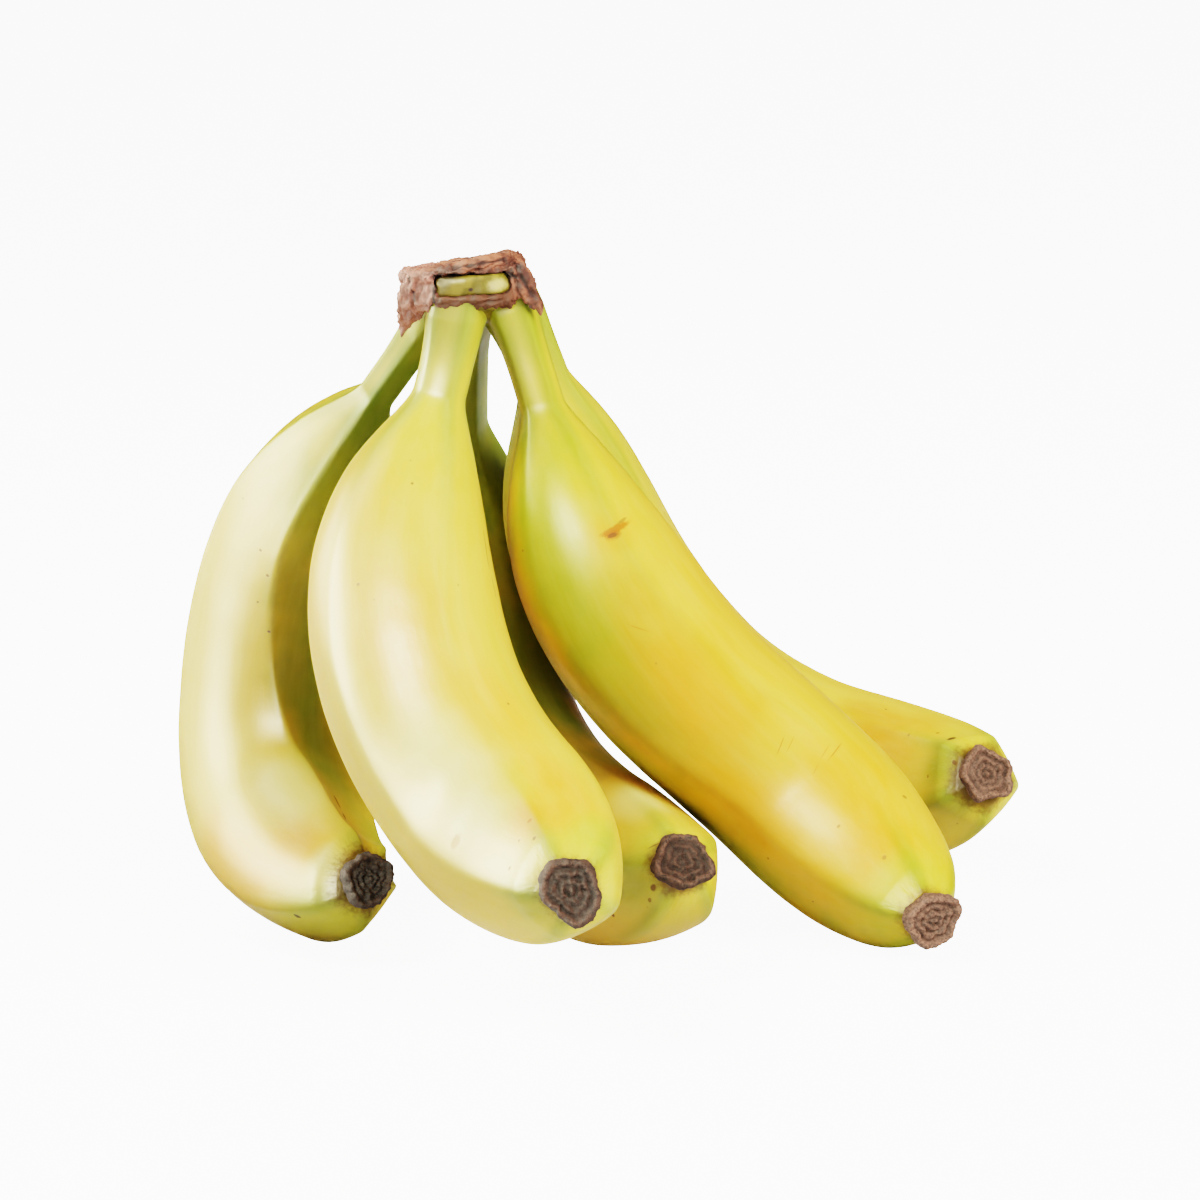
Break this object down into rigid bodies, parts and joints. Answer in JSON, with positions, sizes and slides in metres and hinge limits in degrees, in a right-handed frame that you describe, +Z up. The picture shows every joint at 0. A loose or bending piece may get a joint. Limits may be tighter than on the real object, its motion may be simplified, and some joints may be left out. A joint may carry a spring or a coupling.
{
  "type": "bunch of bananas",
  "caption": "Bunch of ripe yellow bananas joined at a cut crown with dried bark, standing on its fruits with the crown up.",
  "frame": {"origin": "centre of the bounding box, on the surface that the bunch stands on", "axes": "+Z up towards the crown; +X along the longest side, the way that the tips of the right-hand fruits reach; -Y towards the front fruits"},
  "size_m": [0.2042, 0.1685, 0.1643],
  "materials": {
    "peel": "smooth waxy banana peel, yellow with a green tinge at the neck and small brown specks",
    "fresh_flesh": "smooth pale green crown tissue",
    "dried_bark": "rough dried brown bark of the cut crown",
    "dried_blossom": "rough dark brown dried blossom end"
  },
  "bodies": {
    "root": {"crown_flesh": "fresh_flesh", "crown_bark": "dried_bark", "banana_left": "peel", "banana_front_left": "peel", "banana_back_centre": "peel", "banana_front_right": "peel", "banana_back_right": "peel", "blossom_end_left": "dried_blossom", "blossom_end_front_left": "dried_blossom", "blossom_end_back_centre": "dried_blossom", "blossom_end_front_right": "dried_blossom", "blossom_end_back_right": "dried_blossom"}
  },
  "joints": []
}
